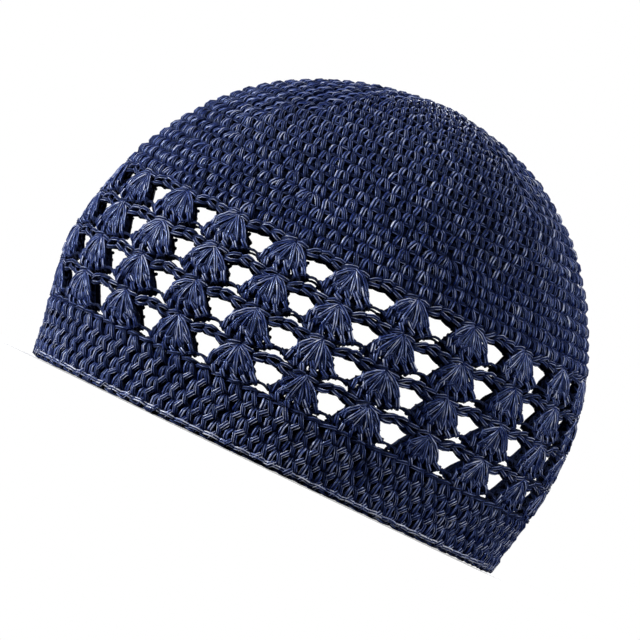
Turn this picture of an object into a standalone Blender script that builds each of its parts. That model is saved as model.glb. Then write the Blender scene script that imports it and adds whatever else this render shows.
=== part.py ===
"""Crocheted kufi cap: a closed crown, an openwork band of shell rows, a plain brim and its edging.

Metres, +Z up, the rim's flat face on Z = 0, the long axis of the oval along X, the front along -Y.
"""

import math

import bmesh
import bpy
import numpy as np

# Outside sizes of the cap at its widest round.
CAP_LENGTH = 0.208
CAP_DEPTH = 0.174
CAP_HEIGHT = 0.154

# The fabric: its thickness, and the open line left between two neighbouring pieces.
FABRIC_THICKNESS = 0.0036
PIECE_GAP = 0.0004

# Widths along the wall, from the rim upward.
EDGING_WIDTH = 0.0030
BRIM_WIDTH = 0.0192
EYELET_ROW_WIDTH = 0.0040
SHELL_ROW_WIDTH = 0.0150

# Shells in one row, and rows of shells.
SHELL_COLUMNS = 22
SHELL_ROWS = 4

# Straight sides in one column, and rings in the crown and the brim.
SIDES_PER_COLUMN = 2
CROWN_RINGS = 9
BRIM_RINGS = 2

YARN_COLOUR = (0.020, 0.031, 0.085, 1.0)
YARN_ROUGHNESS = 0.55
YARN_METALLIC = 0.0

# The outer wall from the rim to the top.
# Columns: height as a share of CAP_HEIGHT, half length as a share of half CAP_LENGTH,
# half depth as a share of half CAP_DEPTH, lean of the section's middle toward +X as a share of half CAP_LENGTH.
WALL_SECTIONS = (
    (0.000, 0.930, 0.930, 0.000),
    (0.095, 0.952, 0.952, 0.002),
    (0.190, 0.982, 0.982, 0.002),
    (0.280, 1.000, 1.000, 0.000),
    (0.350, 0.998, 0.998, 0.001),
    (0.420, 0.984, 0.985, 0.003),
    (0.500, 0.956, 0.960, 0.006),
    (0.580, 0.912, 0.919, 0.008),
    (0.665, 0.850, 0.862, 0.010),
    (0.750, 0.768, 0.786, 0.012),
    (0.826, 0.668, 0.694, 0.016),
    (0.895, 0.535, 0.568, 0.024),
    (0.950, 0.370, 0.402, 0.034),
    (0.985, 0.190, 0.210, 0.042),
    (1.000, 0.000, 0.000, 0.046),
)

# Outline of one gap between two shells, counter-clockwise from its lower left.
# Columns: share across the column, share up the row.
SHELL_GAP_OUTLINE = (
    (0.385, 0.265),
    (0.500, 0.215),
    (0.615, 0.265),
    (0.710, 0.500),
    (0.765, 0.715),
    (0.500, 0.795),
    (0.235, 0.715),
    (0.290, 0.500),
)

# Outline of one eyelet below the last row of shells, with the same columns.
EYELET_OUTLINE = (
    (0.460, 0.260),
    (0.500, 0.180),
    (0.540, 0.260),
    (0.565, 0.500),
    (0.540, 0.740),
    (0.500, 0.820),
    (0.460, 0.740),
    (0.435, 0.500),
)


def clear_scene():
    for item in list(bpy.data.objects):
        bpy.data.objects.remove(item, do_unlink=True)


def wall_curve(samples=1200):
    """The wall's sections along its length: distance up the wall, height, half length, half depth and lean."""
    rows = np.array(WALL_SECTIONS)
    scale = np.array([CAP_HEIGHT, CAP_LENGTH / 2, CAP_DEPTH / 2, CAP_LENGTH / 2])
    knots = rows * scale
    mirrored = knots[-2] * np.array([1.0, -1.0, -1.0, 1.0])
    knots = np.vstack([2 * knots[0] - knots[1], knots, mirrored])
    steps = np.hypot(np.diff(knots[:, 0]), np.diff(knots[:, 1]))
    at = np.concatenate([[0.0], np.cumsum(steps)])
    slopes = (knots[2:] - knots[:-2]) / (at[2:] - at[:-2])[:, None]
    inner = knots[1:-1]
    reach = at[1:-1]
    place = np.linspace(reach[0], reach[-1], samples)
    span = np.clip(np.searchsorted(reach, place, side="right") - 1, 0, len(reach) - 2)
    width = (reach[span + 1] - reach[span])[:, None]
    part = ((place - reach[span]) / (reach[span + 1] - reach[span]))[:, None]
    curve = (
        (2 * part**3 - 3 * part**2 + 1) * inner[span]
        + (part**3 - 2 * part**2 + part) * width * slopes[span]
        + (3 * part**2 - 2 * part**3) * inner[span + 1]
        + (part**3 - part**2) * width * slopes[span + 1]
    )
    radius = (curve[:, 1] + curve[:, 2]) / 2
    lengths = np.hypot(np.diff(curve[:, 0]), np.diff(radius))
    return np.column_stack([np.concatenate([[0.0], np.cumsum(lengths)]), curve])


def equal_steps_round(samples=2880):
    """Share of the way round the widest section, from the front, against the ellipse's own angle."""
    angle = np.linspace(0.0, 2 * math.pi, samples + 1)
    x = CAP_LENGTH / 2 * np.sin(angle)
    y = -CAP_DEPTH / 2 * np.cos(angle)
    reach = np.concatenate([[0.0], np.cumsum(np.hypot(np.diff(x), np.diff(y)))])
    return reach / reach[-1], angle


WALL = wall_curve()
ROUND_SHARE, ROUND_ANGLE = equal_steps_round()
WALL_REACH = float(WALL[-1, 0])


def wall_point(share_round, reach, depth, level_cut=False):
    """A point of the fabric: share of the way round, distance up the wall, depth below the outer face."""
    height, half_length, half_depth, lean = (
        float(np.interp(reach, WALL[:, 0], WALL[:, column])) for column in (1, 2, 3, 4)
    )
    before = max(reach - 0.0005, 0.0)
    after = min(reach + 0.0005, WALL_REACH)
    radius = (WALL[:, 2] + WALL[:, 3]) / 2
    rise = np.interp(after, WALL[:, 0], WALL[:, 1]) - np.interp(before, WALL[:, 0], WALL[:, 1])
    run = np.interp(after, WALL[:, 0], radius) - np.interp(before, WALL[:, 0], radius)
    size = math.hypot(rise, run)
    outward, upward = (1.0, 0.0) if level_cut else (rise / size, -run / size)
    angle = float(np.interp(share_round % 1.0, ROUND_SHARE, ROUND_ANGLE))
    x = lean + max(half_length - depth * outward, 0.0) * math.sin(angle)
    y = -max(half_depth - depth * outward, 0.0) * math.cos(angle)
    return x, y, height - depth * upward


def object_from_mesh(name, mesh_data, material):
    mesh = bpy.data.meshes.new(name)
    mesh_data.to_mesh(mesh)
    mesh_data.free()
    mesh.shade_smooth()
    mesh.set_sharp_from_angle(angle=math.radians(35))
    mesh.materials.append(material)
    item = bpy.data.objects.new(name, mesh)
    bpy.context.scene.collection.objects.link(item)
    return item


def yarn_material(name):
    material = bpy.data.materials.new(name)
    material.use_nodes = True
    shader = material.node_tree.nodes["Principled BSDF"]
    shader.inputs["Base Color"].default_value = YARN_COLOUR
    shader.inputs["Roughness"].default_value = YARN_ROUGHNESS
    shader.inputs["Metallic"].default_value = YARN_METALLIC
    return material


def ring(mesh, reach, depth, level_cut=False):
    sides = SHELL_COLUMNS * SIDES_PER_COLUMN
    return [mesh.verts.new(wall_point(step / sides, reach, depth, level_cut)) for step in range(sides)]


def join_rings(mesh, lower, upper):
    """Quads between two rings, facing away from the axis when the second one is above."""
    for step in range(len(lower)):
        onward = (step + 1) % len(lower)
        mesh.faces.new((lower[step], lower[onward], upper[onward], upper[step]))


def plain_band(name, from_reach, to_reach, rings, material, level_foot=False):
    """A closed ring of fabric with no gaps in it."""
    mesh = bmesh.new()
    reaches = [from_reach + (to_reach - from_reach) * step / rings for step in range(rings + 1)]
    outer = [ring(mesh, reach, 0.0) for reach in reaches]
    inner = [ring(mesh, reach, FABRIC_THICKNESS, level_foot and reach == from_reach) for reach in reaches]
    for step in range(rings):
        join_rings(mesh, outer[step], outer[step + 1])
        join_rings(mesh, inner[step + 1], inner[step])
    join_rings(mesh, inner[0], outer[0])
    join_rings(mesh, outer[-1], inner[-1])
    return object_from_mesh(name, mesh, material)


def rim_edging():
    """The chain edging that lies along the rim, with a flat foot that the cap rests on."""
    return plain_band("rim_edging", 0.0, EDGING_WIDTH, 1, yarn_material("edging_yarn"), level_foot=True)


def brim_band():
    """The plain band of single crochet above the edging."""
    start = EDGING_WIDTH + PIECE_GAP
    return plain_band("brim_band", start, EDGING_WIDTH + BRIM_WIDTH, BRIM_RINGS, yarn_material("brim_yarn"))


def openwork_row(mesh, corners, column, from_reach, to_reach, outline):
    """One column's part of a row: eight quads round its gap on each face, and the gap's own wall."""
    frame = ((0, 0), (0.5, 0), (1, 0), (1, 0.5), (1, 1), (0.5, 1), (0, 1), (0, 0.5))
    faces = []
    for depth in (0.0, FABRIC_THICKNESS):
        around = []
        for across, up in frame:
            half_step = (2 * column + round(2 * across)) % (2 * SHELL_COLUMNS)
            reach = from_reach + up * (to_reach - from_reach)
            key = (half_step, round(reach * 1e7), depth)
            if key not in corners:
                corners[key] = mesh.verts.new(wall_point(half_step / (2 * SHELL_COLUMNS), reach, depth))
            around.append(corners[key])
        gap = [
            mesh.verts.new(
                wall_point((column + across) / SHELL_COLUMNS, from_reach + up * (to_reach - from_reach), depth)
            )
            for across, up in outline
        ]
        faces.append((around, gap))
    (outer_frame, outer_gap), (inner_frame, inner_gap) = faces
    for step in range(8):
        onward = (step + 1) % 8
        mesh.faces.new((outer_frame[step], outer_frame[onward], outer_gap[onward], outer_gap[step]))
        mesh.faces.new((inner_frame[onward], inner_frame[step], inner_gap[step], inner_gap[onward]))
        mesh.faces.new((outer_gap[step], outer_gap[onward], inner_gap[onward], inner_gap[step]))
    return faces


def openwork_band():
    """The pierced band: a row of small eyelets, then the rows of shells with a gap between every two."""
    mesh = bmesh.new()
    corners = {}
    start = EDGING_WIDTH + BRIM_WIDTH + PIECE_GAP
    first_shells = EDGING_WIDTH + BRIM_WIDTH + EYELET_ROW_WIDTH
    rows = [(start, first_shells, EYELET_OUTLINE)]
    for row in range(SHELL_ROWS):
        foot = first_shells + row * SHELL_ROW_WIDTH
        rows.append((foot, foot + SHELL_ROW_WIDTH, SHELL_GAP_OUTLINE))
    for number, (from_reach, to_reach, outline) in enumerate(rows):
        for column in range(SHELL_COLUMNS):
            (outer, _), (inner, _) = openwork_row(mesh, corners, column, from_reach, to_reach, outline)
            if number == 0:
                for step in (0, 1):
                    mesh.faces.new((outer[step + 1], outer[step], inner[step], inner[step + 1]))
            if number == len(rows) - 1:
                for step in (4, 5):
                    mesh.faces.new((outer[step + 1], outer[step], inner[step], inner[step + 1]))
    return object_from_mesh("openwork_band", mesh, yarn_material("shell_yarn"))


def crown():
    """The closed dome of single crochet rounds, a shell of even thickness."""
    mesh = bmesh.new()
    start = EDGING_WIDTH + BRIM_WIDTH + EYELET_ROW_WIDTH + SHELL_ROWS * SHELL_ROW_WIDTH + PIECE_GAP
    last = WALL_REACH - 0.1 * (WALL_REACH - start)
    reaches = [start + (last - start) * step / CROWN_RINGS for step in range(CROWN_RINGS + 1)]
    outer = [ring(mesh, reach, 0.0) for reach in reaches]
    inner = [ring(mesh, reach, FABRIC_THICKNESS) for reach in reaches]
    for step in range(CROWN_RINGS):
        join_rings(mesh, outer[step], outer[step + 1])
        join_rings(mesh, inner[step + 1], inner[step])
    join_rings(mesh, inner[0], outer[0])
    top = mesh.verts.new(wall_point(0.0, WALL_REACH, 0.0))
    under = mesh.verts.new((top.co.x, 0.0, CAP_HEIGHT - FABRIC_THICKNESS))
    for step in range(len(outer[-1])):
        onward = (step + 1) % len(outer[-1])
        mesh.faces.new((outer[-1][step], outer[-1][onward], top))
        mesh.faces.new((inner[-1][onward], inner[-1][step], under))
    return object_from_mesh("crown", mesh, yarn_material("crown_yarn"))


clear_scene()
rim_edging()
brim_band()
openwork_band()
crown()
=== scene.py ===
"""Looks of the crocheted kufi cap: every strand of yarn in its stitches, laid on the wall of the CAD model.

Each strand is a short tube with ply ridges, given by control points in fabric coordinates:
share of the way round, distance up the wall, and height above the middle of the fabric.
"""

import math

import bpy
import numpy as np
from mathutils import Matrix, Vector


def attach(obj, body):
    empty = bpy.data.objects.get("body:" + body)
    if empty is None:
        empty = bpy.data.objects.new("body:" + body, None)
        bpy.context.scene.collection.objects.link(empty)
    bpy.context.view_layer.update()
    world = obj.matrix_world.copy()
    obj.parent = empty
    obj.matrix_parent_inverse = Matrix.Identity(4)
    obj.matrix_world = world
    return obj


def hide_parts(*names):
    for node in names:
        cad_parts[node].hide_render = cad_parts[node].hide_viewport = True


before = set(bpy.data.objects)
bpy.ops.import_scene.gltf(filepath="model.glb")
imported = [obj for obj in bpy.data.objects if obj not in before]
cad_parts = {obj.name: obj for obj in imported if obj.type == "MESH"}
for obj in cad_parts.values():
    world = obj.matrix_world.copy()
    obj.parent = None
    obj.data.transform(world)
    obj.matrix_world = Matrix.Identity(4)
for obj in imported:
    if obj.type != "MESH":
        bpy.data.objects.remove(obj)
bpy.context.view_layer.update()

MM = 0.001
CAP_LENGTH = 208 * MM
CAP_DEPTH = 174 * MM
CAP_HEIGHT = 154 * MM
FABRIC_THICKNESS = 3.6 * MM

# Levels along the wall, from the rim upward.
BRIM_FROM = 2.5 * MM
BRIM_TO = 24.0 * MM
FIRST_CHAIN_LINE = 38.5 * MM
SHELL_ROW = 15.0 * MM
CROWN_FROM = 84.6 * MM
TOP_MARGIN = 0.2 * MM

# How many rows and stitches there are.
SHELL_ROWS = 4
SHELL_COLUMNS = 22
STITCHES_ROUND = SHELL_COLUMNS * 4
BRIM_ROUNDS = 4
CROWN_ROUNDS = 25
STRAIGHT_CROWN_ROUNDS = 4
FEWEST_STITCHES = 6

STITCH_WIDTH = 6.5 * MM
SHELL_PITCH = 27.3 * MM

# The outer wall from the rim to the top, as the solids have it.
# Columns: height share, half length share, half depth share, lean share.
WALL_SECTIONS = (
    (0.000, 0.930, 0.930, 0.000),
    (0.095, 0.952, 0.952, 0.002),
    (0.190, 0.982, 0.982, 0.002),
    (0.280, 1.000, 1.000, 0.000),
    (0.350, 0.998, 0.998, 0.001),
    (0.420, 0.984, 0.985, 0.003),
    (0.500, 0.956, 0.960, 0.006),
    (0.580, 0.912, 0.919, 0.008),
    (0.665, 0.850, 0.862, 0.010),
    (0.750, 0.768, 0.786, 0.012),
    (0.826, 0.668, 0.694, 0.016),
    (0.895, 0.535, 0.568, 0.024),
    (0.950, 0.370, 0.402, 0.034),
    (0.985, 0.190, 0.210, 0.042),
    (1.000, 0.000, 0.000, 0.046),
)

# Cross-sections of the yarn. Columns: degrees from the outward side, share of the radius, kind of place.
# On the outward side, crests carry the painted highlight, and grooves and dull places carry painted shade;
# grooves are also sharp edges.
CREST, DULL_AND_SHADED, GROOVE = 0, 0.5, 1
THREE_PLY = np.array(
    [
        (-80, 0.68, GROOVE),
        (-52, 1.00, CREST),
        (-26, 0.66, GROOVE),
        (0, 1.00, CREST),
        (26, 0.66, GROOVE),
        (52, 1.00, CREST),
        (80, 0.68, GROOVE),
        (125, 0.97, CREST),
        (180, 0.86, GROOVE),
        (235, 0.97, CREST),
    ]
)
TWO_PLY = np.array(
    [
        (-84, 0.66, GROOVE),
        (-56, 0.98, CREST),
        (-24, 0.94, CREST),
        (0, 0.56, GROOVE),
        (24, 0.94, CREST),
        (56, 0.98, CREST),
        (84, 0.66, GROOVE),
        (125, 0.97, CREST),
        (180, 0.86, GROOVE),
        (235, 0.97, CREST),
    ]
)
THIN_PLY = np.array(
    [
        (-78, 0.70, GROOVE),
        (-40, 1.00, CREST),
        (0, 0.60, GROOVE),
        (40, 1.00, CREST),
        (78, 0.70, GROOVE),
        (125, 0.97, CREST),
        (180, 0.88, GROOVE),
        (235, 0.97, CREST),
    ]
)
# The strands behind the stitches: dull, with painted shade on their outward side.
BACK_PLY = np.array([(-62, 1.0, DULL_AND_SHADED), (62, 1.0, DULL_AND_SHADED), (122, 1.0, DULL_AND_SHADED), (238, 1.0, DULL_AND_SHADED)])


# ---- the wall ----


def wall_curve(samples=1600):
    """A smooth curve through the sections. Columns: distance from the rim, height, half sizes, lean."""
    rows = np.array(WALL_SECTIONS)
    scale = np.array([CAP_HEIGHT, CAP_LENGTH / 2, CAP_DEPTH / 2, CAP_LENGTH / 2])
    knots = rows * scale
    mirrored = knots[-2] * np.array([1.0, -1.0, -1.0, 1.0])
    knots = np.vstack([2 * knots[0] - knots[1], knots, mirrored])
    steps = np.hypot(np.diff(knots[:, 0]), np.diff(knots[:, 1]))
    at = np.concatenate([[0.0], np.cumsum(steps)])
    slopes = (knots[2:] - knots[:-2]) / (at[2:] - at[:-2])[:, None]
    inner = knots[1:-1]
    reach = at[1:-1]
    place = np.linspace(reach[0], reach[-1], samples)
    span = np.clip(np.searchsorted(reach, place, side="right") - 1, 0, len(reach) - 2)
    width = (reach[span + 1] - reach[span])[:, None]
    part = (place - reach[span])[:, None] / width
    curve = (
        (2 * part**3 - 3 * part**2 + 1) * inner[span]
        + (part**3 - 2 * part**2 + part) * width * slopes[span]
        + (3 * part**2 - 2 * part**3) * inner[span + 1]
        + (part**3 - part**2) * width * slopes[span + 1]
    )
    radius = (curve[:, 1] + curve[:, 2]) / 2
    lengths = np.hypot(np.diff(curve[:, 0]), np.diff(radius))
    return np.column_stack([np.concatenate([[0.0], np.cumsum(lengths)]), curve])


def equal_steps_round(samples=2880):
    """Shares of the way round the widest oval, the angles that belong to them, and its length."""
    angle = np.linspace(0.0, 2 * math.pi, samples + 1)
    x = CAP_LENGTH / 2 * np.sin(angle)
    y = -CAP_DEPTH / 2 * np.cos(angle)
    reach = np.concatenate([[0.0], np.cumsum(np.hypot(np.diff(x), np.diff(y)))])
    return reach / reach[-1], angle, reach[-1]


WALL = wall_curve()
WALL_REACH = float(WALL[-1, 0])
WALL_SLOPE = np.gradient(WALL[:, 1:], WALL[:, 0], axis=0)
ROUND_SHARE, ROUND_ANGLE, WIDEST_ROUND = equal_steps_round()


def perimeter(reach):
    """Length of one round of the wall at this distance from the rim."""
    length = np.interp(reach, WALL[:, 0], WALL[:, 2])
    depth = np.interp(reach, WALL[:, 0], WALL[:, 3])
    return WIDEST_ROUND * (length + depth) / ((CAP_LENGTH + CAP_DEPTH) / 2)


def on_fabric(share, reach, out):
    """World points and outward directions of places on the fabric."""
    reach = np.clip(reach, 0.0, WALL_REACH - TOP_MARGIN)
    angle = np.interp(np.mod(share, 1.0), ROUND_SHARE, ROUND_ANGLE)
    height, length, depth, lean = (np.interp(reach, WALL[:, 0], column) for column in WALL[:, 1:].T)
    d_height, d_length, d_depth, d_lean = (np.interp(reach, WALL[:, 0], column) for column in WALL_SLOPE.T)
    sine, cosine = np.sin(angle), np.cos(angle)
    face = np.stack([lean + length * sine, -depth * cosine, height], -1)
    along = np.stack([length * cosine, depth * sine, np.zeros_like(sine)], -1)
    up = np.stack([d_lean + d_length * sine, -d_depth * cosine, d_height], -1)
    outward = np.cross(along, up)
    outward /= np.maximum(np.linalg.norm(outward, axis=-1, keepdims=True), 1e-12)
    return face + outward * (out - FABRIC_THICKNESS / 2)[..., None], outward


# ---- yarn ----

# Painted shade deep in the fabric: a strand's crests get the full painted highlight where it lies the second
# of these heights or more above the middle of the fabric, in mm, and less the lower it lies, down to the
# third value at the first height.
# The fourth value is the painted light on the inward sides of the strands.
DEEPEST_SHADE_AT = -0.5
SHADE_ENDS_AT = 1.0
DEEPEST_CREST_LIGHT = 0.30
INWARD_PAINTED_LIGHT = 0.7

# Each strand starts its winding at an angle of its own, in degrees. Its tips are TIP_LENGTH radii long.
WINDING_SCATTER = 22
TIP_LENGTH = 0.8

# The map for the fibres counts UV_LENGTH mm of a strand as 1, and is shifted from strand to strand.
UV_LENGTH = 10
UV_SHIFT = 7.0
UV_TIP = 0.1

# Every strand has a cell of its own in the baked textures. Its sides, in shares of the cell,
# and the lines of its first tip, first ring, last ring and last tip.
CELL_LEFT = 0.07
CELL_WIDTH = 0.86
CELL_LINES = (0.06, 0.16, 0.84, 0.94)


def curve_weights(points, rings):
    """Weights of the control points at each ring, for one smooth curve through all of them."""
    weights = np.zeros((rings, points))
    for ring, at in enumerate(np.linspace(0, points - 1, rings)):
        span = min(int(at), points - 2)
        t = at - span
        basis = {
            -1: (-t + 2 * t**2 - t**3) / 2,
            0: (2 - 5 * t**2 + 3 * t**3) / 2,
            1: (t + 4 * t**2 - 3 * t**3) / 2,
            2: (-(t**2) + t**3) / 2,
        }
        for offset, value in basis.items():
            place = span + offset
            if place < 0:
                weights[ring, 0] += 2 * value
                weights[ring, 1] -= value
            elif place > points - 1:
                weights[ring, points - 1] += 2 * value
                weights[ring, points - 2] -= value
            else:
                weights[ring, place] += value
    return weights


def tube_faces(strands, rings, sides, first):
    """Quads along the strands and triangles at their ends, for points from number first on.

    Each strand has its rings' points, then its two tips.
    """
    start = first + np.arange(strands)[:, None, None] * (rings * sides + 2)
    ring = start + np.arange(rings - 1)[None, :, None] * sides
    at = np.arange(sides)
    onward = (at + 1) % sides
    quads = np.stack([ring + at, ring + onward, ring + sides + onward, ring + sides + at], -1)
    start = start[:, 0]
    end = start + (rings - 1) * sides
    tip = np.broadcast_to(start + rings * sides, (strands, sides))
    opening = np.stack([start + onward, start + at, tip], -1)
    closing = np.stack([end + at, end + onward, tip + 1], -1)
    return quads.reshape(-1, 4), np.concatenate([opening, closing], 1).reshape(-1, 3)


def quad_places(left, right, low, high, shape):
    """Texture places of the corners of the quads along the strands."""
    left, right, low, high = (np.broadcast_to(value, shape) for value in (left, right, low, high))
    return np.stack([left, low, right, low, right, high, left, high], -1).ravel()


def end_places(left, right, lines, shape):
    """Texture places of the corners of the triangles at the ends, from the lines of tips and outer rings."""
    left, right, tip, begin, finish, last_tip = (
        np.broadcast_to(value, shape) for value in (left, right, *lines)
    )
    middle = (left + right) / 2
    opening = np.stack([right, begin, left, begin, middle, tip], -1)
    closing = np.stack([left, finish, right, finish, middle, last_tip], -1)
    return np.concatenate([opening, closing], 1).ravel()


class Yarn:
    """Strands gathered for one piece, then made into one mesh."""

    def __init__(self, seed):
        self.random = np.random.default_rng(seed)
        self.parts = []

    def add(
        self,
        share,
        reach,
        out,
        radius,
        rings,
        section=THREE_PLY,
        flat=0.88,
        thin_ends=0.72,
        turn=24.0,
        bright=1.0,
    ):
        """Strands from control points, each array one row a strand. radius is one value, or one a strand.

        flat: thickness over width; thin_ends: radius of the ends over that of the middle;
        turn: degrees that the plies wind from end to end; the last argument: factor of the painted highlight
        on the crests.
        """
        weights = curve_weights(share.shape[1], rings)
        height = out @ weights.T
        points, outward = on_fabric(share @ weights.T, reach @ weights.T, height)
        # Painted shade: the crests are darker the deeper the strand lies in the fabric, times the strand's
        # painted highlight.
        crest_light_by_depth = (1 - DEEPEST_CREST_LIGHT) * (height / MM - DEEPEST_SHADE_AT) / (SHADE_ENDS_AT - DEEPEST_SHADE_AT)
        crest_light_by_depth = np.clip(DEEPEST_CREST_LIGHT + crest_light_by_depth, 0.0, 1.0) * bright
        strands = len(points)
        tangent = np.gradient(points, axis=1)
        tangent /= np.maximum(np.linalg.norm(tangent, axis=-1, keepdims=True), 1e-12)
        middle = rings // 2
        side = np.cross(tangent[:, middle], outward[:, middle])[:, None, :]
        side = side - (side * tangent).sum(-1, keepdims=True) * tangent
        side /= np.maximum(np.linalg.norm(side, axis=-1, keepdims=True), 1e-12)
        front = np.cross(side, tangent)
        radius = np.broadcast_to(np.asarray(radius, float).reshape(-1, 1), (strands, 1))
        along = np.linspace(0, 1, rings)
        profile = thin_ends + (1 - thin_ends) * np.sin(np.pi * np.clip(along, 0.02, 0.98)) ** 0.6
        girth = radius * profile[None, :]
        start = self.random.uniform(-WINDING_SCATTER, WINDING_SCATTER, (strands, 1))
        sweep = start + turn * (along[None, :] - 0.5)
        angle = np.radians(section[None, None, :, 0] + sweep[:, :, None])
        size = girth[:, :, None] * section[None, None, :, 1]
        loops = (
            points[:, :, None, :]
            + (size * np.cos(angle) * flat)[..., None] * front[:, :, None, :]
            + (size * np.sin(angle))[..., None] * side[:, :, None, :]
        )
        first = points[:, 0] - tangent[:, 0] * girth[:, :1] * TIP_LENGTH
        last = points[:, -1] + tangent[:, -1] * girth[:, -1:] * TIP_LENGTH
        steps = np.linalg.norm(np.diff(points, axis=1), axis=-1)
        length = np.concatenate([np.zeros((strands, 1)), np.cumsum(steps, 1)], 1)
        tone = self.random.uniform(0, 1, strands)
        self.parts.append((loops, first, last, section, length, tone, crest_light_by_depth))

    def build(self, name, material, body, nodes):
        """The piece: one mesh of all the strands, with its two UV maps and the values its material reads."""
        points, quads, triangles = [], [], []
        quad_fibres, end_fibres, quad_cells, end_cells = [], [], [], []
        grooves, tones, painted_light_values = [], [], []
        total = placed = 0
        cells = math.ceil(math.sqrt(sum(len(part[0]) for part in self.parts)))
        for loops, first, last, section, length, tone, crest_light_by_depth in self.parts:
            strands, rings, sides = loops.shape[:3]
            along, ends = (strands, rings - 1, sides), (strands, sides)
            each = rings * sides + 2
            block = np.concatenate([loops.reshape(strands, -1, 3), first[:, None], last[:, None]], 1)
            points.append(block.reshape(-1, 3))
            for gathered, faces in zip((quads, triangles), tube_faces(strands, rings, sides, total)):
                gathered.append(faces)

            u = np.arange(sides + 1) / sides
            v = length / MM / UV_LENGTH + tone[:, None] * UV_SHIFT
            quad_fibres.append(quad_places(u[:-1], u[1:], v[:, :-1, None], v[:, 1:, None], along))
            lines = (v[:, :1] - UV_TIP, v[:, :1], v[:, -1:], v[:, -1:] + UV_TIP)
            end_fibres.append(end_places(u[:-1], u[1:], lines, ends))

            number = placed + np.arange(strands)
            column, row = (number % cells)[:, None], (number // cells)[:, None]
            across = (column + (CELL_LEFT + CELL_WIDTH * u)) / cells
            up = (row + np.linspace(CELL_LINES[1], CELL_LINES[2], rings)) / cells
            left, right = across[:, :-1], across[:, 1:]
            low, high = up[:, :-1, None], up[:, 1:, None]
            quad_cells.append(quad_places(left[:, None], right[:, None], low, high, along))
            lines = [(row + line) / cells for line in CELL_LINES]
            end_cells.append(end_places(left, right, lines, ends))

            mark = np.where(section[:, 2] == GROOVE, np.arange(sides), -1)
            grooves.append(np.tile(np.concatenate([np.tile(mark, rings), [-1, -1]]), strands))
            tones.append(np.repeat(tone, each))
            # Painted light at each point: on the outward side, the crests' share and none in grooves and dull
            # places; on the inward side, a fixed share except in grooves.
            inward = np.abs(section[:, 0] - 180) < 70
            inside = INWARD_PAINTED_LIGHT * (section[:, 2] != GROOVE)
            outside = crest_light_by_depth[:, :, None] * (section[:, 2] == CREST)
            painted_here = np.where(inward, inside, outside).reshape(strands, -1)
            painted_light_values.append(np.concatenate([painted_here, np.zeros((strands, 2))], 1).ravel())
            total += strands * each
            placed += strands

        points, quads, triangles = (np.concatenate(group) for group in (points, quads, triangles))
        mesh = bpy.data.meshes.new(name)
        mesh.vertices.add(len(points))
        mesh.vertices.foreach_set("co", points.astype(np.float32).ravel())
        corners = np.concatenate([quads.ravel(), triangles.ravel()]).astype(np.int32)
        starts = np.concatenate([np.arange(len(quads)) * 4, len(quads) * 4 + np.arange(len(triangles)) * 3])
        mesh.loops.add(len(corners))
        mesh.loops.foreach_set("vertex_index", corners)
        mesh.polygons.add(len(starts))
        mesh.polygons.foreach_set("loop_start", starts.astype(np.int32))
        mesh.update(calc_edges=True)
        mesh.shade_smooth()

        # The bottom of a groove between two plies is a sharp edge.
        ends = np.empty(len(mesh.edges) * 2, np.int32)
        mesh.edges.foreach_get("vertices", ends)
        ends = ends.reshape(-1, 2)
        mark = np.concatenate(grooves)
        sharp = (mark[ends[:, 0]] == mark[ends[:, 1]]) & (mark[ends[:, 0]] >= 0)
        edges = mesh.attributes.new("sharp_edge", "BOOLEAN", "EDGE")
        edges.data.foreach_set("value", sharp)
        for label, places in (("yarn", quad_fibres + end_fibres), ("OFBake", quad_cells + end_cells)):
            layer = mesh.uv_layers.new(name=label)
            layer.data.foreach_set("uv", np.concatenate(places).astype(np.float32))
        # tone is a random tone for each strand; the other attribute holds the painted light and shade.
        for label, values in (("tone", tones), ("ridge", painted_light_values)):
            attribute = mesh.attributes.new(label, "FLOAT", "POINT")
            attribute.data.foreach_set("value", np.concatenate(values).astype(np.float32))
        mesh.materials.append(material)
        piece = bpy.data.objects.new(name, mesh)
        bpy.context.scene.collection.objects.link(piece)
        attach(piece, body)
        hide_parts(*nodes)
        print(f"{name}: {len(quads) * 2 + len(triangles)} triangles")


def jitter(random, number, values, amount):
    """The values once for each of so many stitches, each moved a little at random."""
    values = np.broadcast_to(values, (number, np.shape(values)[-1]))
    return values + random.normal(0, amount, values.shape)


# ---- single crochet ----

CROCHET_YARN = 1.12 * MM

# How much the stitches vary: the factor of their thickness, then the scatter of their places in stitches
# and rounds, of their heights in mm, and of the heights of single control points in mm.
THICKNESS_RANGE = (0.92, 1.08)
PLACE_SCATTER = 0.035
HEIGHT_SCATTER = 0.14
POINT_HEIGHT_SCATTER = 0.07

# The legs of a stitch, and the loop over its foot: a plain one in the crown, a slanting knot in the brim.
# Columns: stitches across, rounds down, mm outward, share of the slant toward the stitch worked into.
LEFT_LEG = (
    (-0.05, -0.16, -1.0, 1.0),
    (-0.13, 0.03, 0.60, 0.75),
    (-0.21, 0.32, 1.15, 0.4),
    (-0.23, 0.64, 1.05, 0.15),
    (-0.20, 0.90, 0.1, 0),
    (-0.12, 1.06, -1.1, 0),
)
RIGHT_LEG = (
    (0.06, -0.16, -1.0, 1.0),
    (0.13, 0.03, 0.70, 0.75),
    (0.22, 0.32, 1.45, 0.4),
    (0.30, 0.64, 1.30, 0.15),
    (0.37, 0.90, 0.1, 0),
    (0.37, 1.06, -1.1, 0),
)
TOP_LOOP = (
    (-0.28, 1.06, -0.9, 0),
    (-0.13, 0.98, 0.3, 0),
    (0.08, 0.90, 0.75, 0),
    (0.28, 0.93, 0.35, 0),
    (0.46, 1.0, -0.8, 0),
)
KNOT = (
    (-0.21, 1.24, -1.9, 0),
    (-0.15, 1.11, 0.15, 0),
    (-0.03, 0.91, 0.75, 0),
    (0.14, 0.76, 0.25, 0),
    (0.23, 0.68, -1.8, 0),
)

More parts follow.
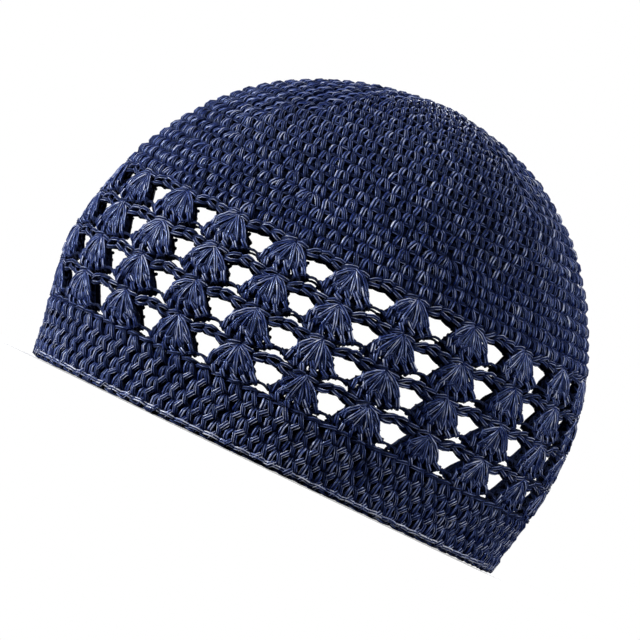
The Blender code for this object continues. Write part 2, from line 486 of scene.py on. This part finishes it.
# The strands that cross behind a stitch. Columns: rounds down, mm outward.
CROSSING_STRANDS = ((0.42, -1.20), (0.94, -1.05))

# Each round is shifted against the one above. Its stitches are worked into the left part of those
# above, and lean to meet them by LEAN_SHARE of the distance, LEAN_MOST of a stitch at most.
ROUND_SHIFT = -0.40
WORKED_INTO = 0.45
LEAN_MOST = 0.5
LEAN_SHARE = 0.9


def single_crochet(yarn, centre, level, count, height, apex, bar):
    """One round of single crochet.

    centre: share of each stitch; level: the line it is worked into; apex: its slant;
    bar: mm that its knot stands out, or 0 for a plain top loop.
    """
    random = yarn.random
    fat = CROCHET_YARN * random.uniform(*THICKNESS_RANGE, (count, 1))
    slip = random.normal(0, PLACE_SCATTER, (count, 1))
    drop = random.normal(0, PLACE_SCATTER, (count, 1))
    lift = random.normal(0, HEIGHT_SCATTER, (count, 1))

    def strand(table, size, rings, section=THREE_PLY, loose=0.022, **more):
        across, down, out, lean = np.array(table, float).T
        across = jitter(random, count, across + apex[:, None] * lean, loose)
        down = jitter(random, count, down, loose)
        out = jitter(random, count, out + lift, POINT_HEIGHT_SCATTER)
        share = centre[:, None] + (across + slip) * (1.0 / count)
        reach = level - (down + drop) * height
        yarn.add(share, reach, out * MM, size * fat[:, 0], rings, section, **more)

    strand(LEFT_LEG, size=1.06, rings=6, section=TWO_PLY)
    # The right leg, the knot and the top loop get a stronger painted highlight on their crests.
    strand(RIGHT_LEG, size=1.06, rings=6, bright=1.1)
    if bar > 0:
        knot = [(across, down, out + bar, lean) for across, down, out, lean in KNOT]
        strand(knot, size=1.25, rings=4, loose=0.035, turn=-70.0, bright=1.25)
    else:
        strand(TOP_LOOP, size=0.98, rings=4, section=THIN_PLY, bright=1.15)
    for down, out in CROSSING_STRANDS:
        left, right = (-0.62, down + 0.06, out + 0.4, 0), (0.62, down + 0.02, out + 0.4, 0)
        crossing = [left, (0.0, down - 0.03, out, 0), right]
        shape = {"turn": 0.0, "flat": 0.5, "thin_ends": 0.95}
        strand(crossing, size=1.55, rings=3, section=BACK_PLY, loose=0.012, **shape)


def rounds_of_crochet(yarns, levels, counts, height, shift, parents, bar):
    """Rounds worked one into the other from the top down. parents is the first round worked into."""
    previous = parents
    for yarn, level, count in zip(yarns, levels, counts):
        centre = np.mod((np.arange(count) + shift) / count, 1.0)
        if previous is None:
            apex = np.zeros(count)
        else:
            worked_into = np.sort(np.mod(previous - WORKED_INTO / len(previous), 1.0))
            padded = np.concatenate([worked_into[-1:] - 1, worked_into, worked_into[:1] + 1])
            nearest = padded[np.abs(padded[None, :] - centre[:, None]).argmin(1)]
            apex = np.clip((nearest - centre) * count, -LEAN_MOST, LEAN_MOST) * LEAN_SHARE
        single_crochet(yarn, centre, level, count, height, apex, bar)
        previous = centre
        shift += ROUND_SHIFT


# A loop of the shells' lower edge. Columns: stitches across, mm up, mm outward.
EDGE_LOOP = ((-0.14, -1.0, -1.3), (0.14, 0.4, 0.3), (0.46, 1.1, 0.9), (0.78, 1.2, 0.4), (1.04, 0.4, -1.2))


def edge_loops(yarn):
    """The loops along the lower edge of the shells that the first brim round is worked into."""
    random = yarn.random
    start = np.arange(STITCHES_ROUND) / STITCHES_ROUND
    at, up, out = np.array(EDGE_LOOP).T
    for lift, rings, section in ((0.5, 5, THIN_PLY), (-0.9, 3, BACK_PLY)):
        share = start[:, None] + jitter(random, STITCHES_ROUND, at, 0.05) / STITCHES_ROUND
        reach = BRIM_TO + jitter(random, STITCHES_ROUND, up, 0.2) * MM
        height = jitter(random, STITCHES_ROUND, out + lift, 0.15) * MM
        # These loops get a stronger painted highlight on their crests.
        yarn.add(share, reach, height, 0.95 * MM, rings, section, bright=1.1)


# ---- shells ----

# Middle line of each double crochet of a fan, from its foot to its top, outermost first.
# Columns: mm across, mm down.
FAN_LINES = (
    ((0.5, 0.5), (2.8, 1.9), (5.2, 4.5), (7.6, 7.7), (10.3, 11.2)),
    ((0.4, 0.8), (1.9, 3.7), (3.6, 7.1), (5.4, 10.2), (7.2, 12.9)),
    ((0.2, 0.9), (0.6, 4.3), (1.1, 7.9), (1.8, 11.1), (2.5, 13.7)),
)
FAN_STITCH_LENGTH = 14

# Degrees by which the slanting strands turn from their stitch, for the three stitches of FAN_LINES
# on the left and on the right of a fan. Their form: mm along, mm outward.
FAN_SLANTS = {-1: (48, 46, 40), 1: (10, 15, 32)}
SLANTING_STRAND = ((-2.6, -0.7), (-1.5, 0.9), (0.0, 1.4), (1.5, 0.9), (2.6, -0.7))

# The strand across the back of a stitch reaches this many mm to its sides, less at the edge of the fan.
BEHIND_REACH = 2.4
BEHIND_REACH_AT_EDGE = 0.5

# How much the stitches of the fans vary: the scatter of their middle lines, of their feet and of their
# heights, all in mm, and the factor of their thickness.
FAN_LINE_SCATTER = 0.30
FAN_FOOT_SCATTER = 0.15
FAN_HEIGHT_SCATTER = 0.22
FAN_THICKNESS_RANGE = (0.93, 1.07)


def chain_level(row):
    """Distance from the rim to the chain that this row of shells hangs from, counted from the top."""
    return FIRST_CHAIN_LINE + (SHELL_ROWS - 1 - row) * SHELL_ROW


def shell_rows(yarn, rows):
    """Fans of six double crochet, worked downward from one point."""
    for row in rows:
        middle = np.arange(SHELL_COLUMNS) / SHELL_COLUMNS
        for side in (-1, 1):
            for kind in range(len(FAN_LINES)):
                double_crochet(yarn, middle, chain_level(row), side, kind)


def double_crochet(yarn, middle, level, side, kind):
    """One stitch in each fan of a row. side: -1 left, 1 right; kind: 0 outermost to 2 innermost."""
    random = yarn.random
    number = len(middle)
    line = np.array(FAN_LINES[kind]) * np.array([side, 1.0])
    line = line[None] + random.normal(0, FAN_LINE_SCATTER, (number,) + line.shape)
    line[:, 0] += random.normal(0, FAN_FOOT_SCATTER, (number, 2))
    raise_all = random.normal(0, FAN_HEIGHT_SCATTER, (number, 1))

    def strand(table, size, rings, section=TWO_PLY, loose=0.14, **more):
        """Columns of the table: share along the stitch, mm to its right, mm outward. size in mm."""
        rows = np.array(table, float)
        weights = []
        for at in rows[:, 0]:
            place = at * (line.shape[1] - 1)
            span = int(np.clip(place, 0, line.shape[1] - 2))
            weights.append((span, place - span))
        place = np.stack([line[:, span] * (1 - t) + line[:, span + 1] * t for span, t in weights], 1)
        heading = np.stack([line[:, span + 1] - line[:, span] for span, _ in weights], 1)
        heading /= np.linalg.norm(heading, axis=-1, keepdims=True)
        across = np.stack([heading[..., 1], -heading[..., 0]], -1)
        shift = jitter(random, number, rows[:, 1], loose)
        place = place + across * shift[..., None]
        out = jitter(random, number, rows[:, 2] + raise_all, loose)
        share = middle[:, None] + place[..., 0] * MM / SHELL_PITCH / SHELL_COLUMNS
        reach = level - place[..., 1] * MM
        radius = size * MM * random.uniform(*FAN_THICKNESS_RANGE, number)
        yarn.add(share, reach, out * MM, radius, rings, section, **more)

    # Three strands wound about the stitch, from its foot on.
    inner = -side
    strand(
        [
            (-0.12, 0.0, -0.5),
            (0.05, -0.25 * inner, 1.45),
            (0.38, -0.90 * inner, 1.4),
            (0.68, -0.85 * inner, 1.2),
            (0.86, -0.6 * inner, -0.2),
        ],
        size=0.93,
        rings=6,
        thin_ends=0.5,
    )
    strand(
        [
            (-0.08, 0.1, -0.7),
            (0.08, 0.30 * inner, 0.9),
            (0.36, 0.90 * inner, 1.0),
            (0.62, 1.00 * inner, 0.8),
            (0.80, 0.8 * inner, -0.5),
        ],
        size=0.86,
        rings=5,
        section=THIN_PLY,
        thin_ends=0.5,
    )
    strand(
        [
            (0.44, 1.4 * inner, -0.6),
            (0.50, 0.8 * inner, 1.1),
            (0.60, -0.3 * inner, 1.7),
            (0.69, -1.1 * inner, 0.9),
            (0.74, -1.4 * inner, -0.6),
        ],
        size=0.78,
        rings=4,
        section=THIN_PLY,
    )
    # Two slanting strands, one above the other, that lean the same way in the whole fan.
    slant = math.radians(FAN_SLANTS[side][kind])
    for at, right in ((0.64, -0.5), (0.87, 0.4)):
        slanting = [
            (at + step * math.cos(slant) / FAN_STITCH_LENGTH, right + step * math.sin(slant), out)
            for step, out in SLANTING_STRAND
        ]
        strand(slanting, size=1.02, rings=4)
    # The loop at its lower end.
    strand(
        [(1.0, -2.0, -0.6), (0.97, -0.9, 0.7), (0.95, 0.3, 1.0), (0.97, 1.4, 0.6), (1.0, 2.1, -0.6)],
        size=0.82,
        rings=4,
        section=THIN_PLY,
    )
    # The strands that cross and run behind it.
    edge = BEHIND_REACH_AT_EDGE if kind == 0 else BEHIND_REACH
    strand(
        [
            (0.95, -BEHIND_REACH * side, -0.9),
            (0.92, -0.8 * side, -1.2),
            (0.92, 0.3 * edge * side, -1.2),
            (0.95, edge * side, -0.9),
        ],
        size=1.40,
        rings=3,
        section=BACK_PLY,
        flat=0.5,
        thin_ends=0.9,
    )
    strand(
        [(0.22, 0.0, -0.9), (0.5, 0.0, -1.2), (0.76, 0.0, -1.2), (1.0, 0.0, -0.9)],
        size=1.45,
        rings=4,
        section=BACK_PLY,
        flat=0.6,
    )


# The chain above a gap. Columns: share of the way to the next fan, mm down.
CHAIN_LINE = (
    (0.0, 0.3),
    (0.12, 1.4),
    (0.24, 1.8),
    (0.36, 0.6),
    (0.47, -0.5),
    (0.60, 0.1),
    (0.80, 0.9),
    (1.0, 0.3),
)

# Its links run over each other at both ends, in shares of a link.
CHAIN_LINKS = 5
LINK_FROM = -0.12
LINK_TO = 1.22

# The strands of a link: how far it bulges downward, as a factor of LINK_BULGE in mm; mm outward;
# how many rings it has, and its cross-section.
LINK_BULGE = np.array([0.05, 0.60, 1.05, 1.15, 0.75])
LINK_STRANDS = (
    (-1.25, (-0.5, 0.9, 1.4, 0.9, -0.9), 5, THIN_PLY),
    (1.25, (-0.5, 0.7, 1.2, 0.7, -0.9), 5, THIN_PLY),
    (0.0, (-0.2, -0.9, -1.2, -0.9, -0.2), 3, BACK_PLY),
)

# The thin strand across the lower end of a gap.
# Columns: share of the way to the next fan, mm down, mm outward.
GAP_STRAND = ((0.38, 11.2, -0.2), (0.43, 10.3, 0.3), (0.50, 9.9, 0.4), (0.57, 10.3, 0.3), (0.62, 11.2, -0.2))


def chain_lines(yarn):
    """The braided chain from fan to fan above each row of gaps, and the thin strand below the gap."""
    random = yarn.random
    columns = SHELL_COLUMNS
    start = np.arange(columns)[:, None] / columns
    chain_at, chain_down = np.array(CHAIN_LINE).T
    gap_at, gap_down, gap_out = np.array(GAP_STRAND).T
    for row in range(SHELL_ROWS):
        level = chain_level(row)
        for link in range(CHAIN_LINKS):
            begin = (link + LINK_FROM) / CHAIN_LINKS
            finish = (link + LINK_TO) / CHAIN_LINKS
            at = np.linspace(begin, finish, len(LINK_BULGE))
            base = np.interp(at, chain_at, chain_down)
            for bulge, out, rings, section in LINK_STRANDS:
                share = start + jitter(random, columns, at, 0.004) / columns
                reach = level - jitter(random, columns, base + LINK_BULGE * bulge, 0.10) * MM
                lift = jitter(random, columns, out, 0.10) * MM
                # The chain's links get a stronger painted highlight on their crests.
                yarn.add(share, reach, lift, 0.95 * MM, rings, section, bright=1.2)
        share = start + jitter(random, columns, gap_at, 0.004) / columns
        reach = level - jitter(random, columns, gap_down, 0.12) * MM
        lift = jitter(random, columns, gap_out, 0.1) * MM
        yarn.add(share, reach, lift, 0.60 * MM, rings=6, section=THIN_PLY)


# ---- rim ----

# The strands of the rim's chain, all with these places in stitches across.
# RIM_STRANDS: mm from the rim; mm up from there; mm outward.
RIM_STRAND_AT = (-0.25, 0.15, 0.55, 0.95, 1.35)
RIM_STRANDS = (
    (2.1, (-0.6, 0.3, 0.7, 0.5, -0.2), (-0.2, 1.1, 1.6, 1.3, -0.4)),
    (1.1, (0.4, 0.0, -0.1, 0.0, 0.4), (0.5, 0.4, -0.1, -0.4, -0.9)),
)
# The middle of a strand keeps this far from the floor, in mm.
RIM_LOWEST = 1.02


def rim_chain(yarn):
    """The chain of loops that closes the last round, lying along the rim."""
    random = yarn.random
    start = np.arange(STITCHES_ROUND) / STITCHES_ROUND
    for level, rise, out in RIM_STRANDS:
        share = start[:, None] + jitter(random, STITCHES_ROUND, RIM_STRAND_AT, 0.03) / STITCHES_ROUND
        up = jitter(random, STITCHES_ROUND, np.array(rise) + level, 0.08)
        lift = jitter(random, STITCHES_ROUND, out, 0.08) * MM
        reach = np.maximum(up, RIM_LOWEST) * MM
        # The rim's chain gets a stronger painted highlight on its crests.
        yarn.add(share, reach, lift, 0.98 * MM, rings=5, section=TWO_PLY, bright=1.15)


# ---- materials ----

# Colours of the yarn, from painted shade in its grooves through its navy to painted highlights on its crests.
# Columns: place on the ramp, colour.
NAVY_AND_PAINTED_LIGHT = (
    (0.00, (0.0003, 0.0012, 0.0095, 1.0)),
    (0.46, (0.0006, 0.0028, 0.028, 1.0)),
    (0.68, (0.0060, 0.0180, 0.128, 1.0)),
    (0.82, (0.1220, 0.1700, 0.410, 1.0)),
    (1.00, (0.800, 0.820, 0.900, 1.0)),
)
WHITE = (1.0, 1.0, 1.0, 1.0)
FLOOR_GREY = (0.86, 0.86, 0.86, 1.0)


def set_inputs(node, **values):
    """Sets sockets by name, with _ for a space."""
    for label, value in values.items():
        node.inputs[label.replace("_", " ")].default_value = value


def yarn_material(name):
    """Navy yarn: painted highlights on the glossy crests of the plies, painted shade in the matt grooves
    between them.
    """
    material = bpy.data.materials.new(name)
    material.use_nodes = True
    nodes, links = material.node_tree.nodes, material.node_tree.links
    shader = nodes["Principled BSDF"]
    set_inputs(
        shader,
        Specular_IOR_Level=0.5,
        Specular_Tint=(0.50, 0.66, 1.0, 1.0),
        Sheen_Weight=0.04,
        Sheen_Roughness=0.4,
        Sheen_Tint=(0.75, 0.78, 1.0, 1.0),
    )
    place = nodes.new("ShaderNodeUVMap")
    place.uv_map = "yarn"
    object_place = nodes.new("ShaderNodeTexCoord")

    def attribute(label):
        node = nodes.new("ShaderNodeAttribute")
        node.attribute_name = label
        return node.outputs["Fac"]

    def noise(scale, vector):
        node = nodes.new("ShaderNodeTexNoise")
        set_inputs(node, Scale=scale, Detail=3.0)
        links.new(vector, node.inputs["Vector"])
        return node.outputs["Fac"]

    def stretched(scale):
        node = nodes.new("ShaderNodeMapping")
        set_inputs(node, Scale=scale)
        links.new(place.outputs["UV"], node.inputs["Vector"])
        return node.outputs["Vector"]

    def combine(operation, *values):
        node = nodes.new("ShaderNodeMath")
        node.operation = operation
        for socket, value in zip(node.inputs, values):
            if isinstance(value, float):
                socket.default_value = value
            else:
                links.new(value, socket)
        return node.outputs[0]

    patches = noise(220.0, object_place.outputs["Object"])
    fibres = noise(1.0, stretched((48.0, 6.0, 1.0)))
    streaks = noise(1.0, stretched((15.0, 2.4, 1.0)))
    # The painted light from the mesh: highlight on the crests, shade in the grooves and deep in the fabric.
    painted_light_mask = combine("POWER", attribute("ridge"), 1.6)

    colour = nodes.new("ShaderNodeValToRGB")
    stops = colour.color_ramp.elements
    for stop, (position, value) in zip(stops, (NAVY_AND_PAINTED_LIGHT[0], NAVY_AND_PAINTED_LIGHT[-1])):
        stop.position = position
        stop.color = value
    for position, value in NAVY_AND_PAINTED_LIGHT[1:-1]:
        stops.new(position).color = value
    # Colour: painted light and shade, broken into streaks along the fibres, plus a random tone for each
    # strand.
    shade = combine("MULTIPLY_ADD", attribute("tone"), 0.14, combine("MULTIPLY", streaks, 0.9))
    shade = combine("MULTIPLY_ADD", painted_light_mask, 0.50, combine("SUBTRACT", shade, 0.22))
    links.new(shade, colour.inputs["Fac"])
    links.new(colour.outputs["Color"], shader.inputs["Base Color"])

    rough = nodes.new("ShaderNodeMapRange")
    set_inputs(rough, To_Min=1.0, To_Max=0.2)
    smoothness = combine("MULTIPLY_ADD", patches, 0.2, combine("MULTIPLY", painted_light_mask, 0.9))
    links.new(smoothness, rough.inputs["Value"])
    links.new(rough.outputs["Result"], shader.inputs["Roughness"])

    bump = nodes.new("ShaderNodeBump")
    set_inputs(bump, Strength=0.55, Distance=0.18 * MM)
    links.new(fibres, bump.inputs["Height"])
    links.new(bump.outputs["Normal"], shader.inputs["Normal"])
    return material


def mixed(tree, share, first, second, output):
    """Leads a mix of two shaders to the output of a material or world."""
    mix = tree.nodes.new("ShaderNodeMixShader")
    tree.links.new(share, mix.inputs["Fac"])
    tree.links.new(first.outputs[0], mix.inputs[1])
    tree.links.new(second.outputs[0], mix.inputs[2])
    tree.links.new(mix.outputs[0], tree.nodes[output].inputs["Surface"])


# ---- floor, light and camera ----

FLOOR_RADIUS = 6.0
FLOOR_FADE_FROM = 0.16
FLOOR_FADE_TO = 0.42

# Columns: name, place, height it is aimed at, size, watts. Lengths in metres.
SOFT_BOXES = (
    ("key", (-1.55, -0.45, 0.35), 0.08, 0.20, 31.0),
    ("fill", (1.40, -0.70, 0.65), 0.08, 0.22, 14.0),
    ("front", (-0.1, -1.4, 1.1), 0.08, 0.20, 5.5),
    ("top", (0.15, 0.35, 1.3), 0.1, 0.30, 4.2),
    ("back", (0.3, 1.5, 0.6), 0.08, 0.70, 9.2),
)

# Where the middle of the cap lies in the photo, and the photo's scale and roll.
PHOTO_MIDDLE = (348.0, 284.0)
PHOTO_PIXELS_PER_MM = 2.615
PHOTO_ROLL_DEGREES = 25.6
PHOTO_SIDE = 640
CAMERA_DISTANCE = 5.0
CAMERA_HEIGHT = 0.030
SENSOR_WIDTH = 36.0


def floor_material():
    """A pale matt floor, which far from the cap turns into the white of the backdrop."""
    material = bpy.data.materials.new("pale_floor")
    material.use_nodes = True
    nodes, links = material.node_tree.nodes, material.node_tree.links
    shader = nodes["Principled BSDF"]
    set_inputs(
        shader,
        Base_Color=FLOOR_GREY,
        Roughness=0.9,
        Specular_IOR_Level=0.1,
        Emission_Color=WHITE,
        Emission_Strength=0.45,
    )
    far = nodes.new("ShaderNodeEmission")
    set_inputs(far, Color=WHITE)
    place = nodes.new("ShaderNodeTexCoord")
    distance = nodes.new("ShaderNodeVectorMath")
    distance.operation = "LENGTH"
    links.new(place.outputs["Object"], distance.inputs[0])
    fade = nodes.new("ShaderNodeMapRange")
    fade.interpolation_type = "SMOOTHSTEP"
    set_inputs(fade, From_Min=FLOOR_FADE_FROM, From_Max=FLOOR_FADE_TO)
    links.new(distance.outputs["Value"], fade.inputs["Value"])
    mixed(material.node_tree, fade.outputs["Result"], shader, far, "Material Output")
    return material


def make_floor():
    bpy.ops.mesh.primitive_circle_add(vertices=128, radius=FLOOR_RADIUS, fill_type="NGON", location=(0, 0, 0))
    floor = bpy.context.active_object
    floor.name = "floor"
    floor.data.materials.append(floor_material())
    floor.visible_diffuse = False
    floor.visible_glossy = False


def make_light():
    """A white backdrop that the camera sees, a dim soft room, and five soft boxes."""
    world = bpy.data.worlds.new("studio")
    bpy.context.scene.world = world
    world.use_nodes = True
    tree = world.node_tree
    room = tree.nodes["Background"]
    set_inputs(room, Color=(0.80, 0.88, 1.0, 1.0), Strength=0.015)
    backdrop = tree.nodes.new("ShaderNodeBackground")
    set_inputs(backdrop, Color=WHITE, Strength=1.0)
    seen = tree.nodes.new("ShaderNodeLightPath")
    mixed(tree, seen.outputs["Is Camera Ray"], room, backdrop, "World Output")
    for name, place, aim, size, power in SOFT_BOXES:
        data = bpy.data.lights.new(name, "AREA")
        data.shape = "DISK"
        data.size = size
        data.energy = power
        light = bpy.data.objects.new(name, data)
        bpy.context.scene.collection.objects.link(light)
        light.location = place
        light.rotation_euler = (Vector((0, 0, aim)) - Vector(place)).to_track_quat("-Z", "Y").to_euler()


def make_camera():
    """The photo's view: its scale, roll and framing, from a little above the floor."""
    data = bpy.data.cameras.new("camera")
    camera = bpy.data.objects.new("camera", data)
    bpy.context.scene.collection.objects.link(camera)
    bpy.context.scene.camera = camera
    data.sensor_width = SENSOR_WIDTH
    middle = Vector((0, 0, CAP_HEIGHT / 2))
    rise = CAMERA_HEIGHT - middle.z
    place = Vector((0, -math.sqrt(CAMERA_DISTANCE**2 - rise**2), CAMERA_HEIGHT))
    width = PHOTO_SIDE / PHOTO_PIXELS_PER_MM * MM
    data.lens = data.sensor_width * CAMERA_DISTANCE / width
    data.clip_start = 0.01
    look = (middle - place).to_track_quat("-Z", "Y").to_matrix()
    roll = Matrix.Rotation(math.radians(PHOTO_ROLL_DEGREES), 3, "Z")
    turned = look @ roll
    right, up = turned.col[0], turned.col[1]
    across = (PHOTO_SIDE / 2 - PHOTO_MIDDLE[0]) / PHOTO_PIXELS_PER_MM * MM
    down = (PHOTO_SIDE / 2 - PHOTO_MIDDLE[1]) / PHOTO_PIXELS_PER_MM * MM
    aim = middle + right * across - up * down
    aimed = (aim - place).to_track_quat("-Z", "Y").to_matrix()
    camera.matrix_world = Matrix.Translation(place) @ (aimed @ roll).to_4x4()


# ---- the cap ----

# Seeds of the random scatter of each piece, and for the crown's pieces how many rounds each has.
CROWN_PIECES = ((11, 14), (12, 6), (13, 5))
BRIM_SEED = 21
UPPER_SHELLS_SEED = 31
LOWER_SHELLS_SEED = 32
CHAINS_SEED = 33
RIM_SEED = 34

# A crown round has as many stitches as fit round the wall this far below its line, in rounds.
COUNTED_AT = 0.7
# Stitches by which the first brim round is shifted, and mm by which the brim's knots stand out.
BRIM_SHIFT = -0.2
KNOT_LIFT = 0.85


def make_crown(navy):
    height = (WALL_REACH - CROWN_FROM) / CROWN_ROUNDS
    levels = [WALL_REACH - number * height for number in range(CROWN_ROUNDS)]
    lengths = [float(perimeter(level - COUNTED_AT * height)) for level in levels]
    counts = [max(FEWEST_STITCHES, round(length / STITCH_WIDTH)) for length in lengths]
    counts[-STRAIGHT_CROWN_ROUNDS:] = [STITCHES_ROUND] * STRAIGHT_CROWN_ROUNDS
    pieces = [Yarn(seed) for seed, _ in CROWN_PIECES]
    yarns = [yarn for yarn, (_, rounds) in zip(pieces, CROWN_PIECES) for _ in range(rounds)]
    rounds_of_crochet(yarns, levels, counts, height, 0.0, None, 0.0)
    for number, yarn in enumerate(pieces):
        yarn.build(f"crown_stitches_{number + 1}", navy, "root", ["crown"])


def make_brim(navy):
    brim = Yarn(BRIM_SEED)
    height = (BRIM_TO - BRIM_FROM) / BRIM_ROUNDS
    levels = [BRIM_TO - number * height for number in range(BRIM_ROUNDS)]
    counts = [STITCHES_ROUND] * BRIM_ROUNDS
    edge = np.arange(STITCHES_ROUND) / STITCHES_ROUND
    rounds_of_crochet([brim] * BRIM_ROUNDS, levels, counts, height, BRIM_SHIFT, edge, KNOT_LIFT)
    edge_loops(brim)
    brim.build("brim_stitches", navy, "root", ["brim_band"])


def make_openwork(navy):
    upper, lower, chains = Yarn(UPPER_SHELLS_SEED), Yarn(LOWER_SHELLS_SEED), Yarn(CHAINS_SEED)
    shell_rows(upper, (0, 1))
    shell_rows(lower, (2, 3))
    chain_lines(chains)
    upper.build("shells_upper", navy, "root", ["openwork_band"])
    lower.build("shells_lower", navy, "root", ["openwork_band"])
    chains.build("shell_chains", navy, "root", ["openwork_band"])


def make_rim(navy):
    rim = Yarn(RIM_SEED)
    rim_chain(rim)
    rim.build("rim_chain_loops", navy, "root", ["rim_edging"])


navy_yarn = yarn_material("navy_yarn")
make_crown(navy_yarn)
make_brim(navy_yarn)
make_openwork(navy_yarn)
make_rim(navy_yarn)
make_floor()
make_light()
make_camera()
bpy.context.scene.view_settings.view_transform = "Standard"
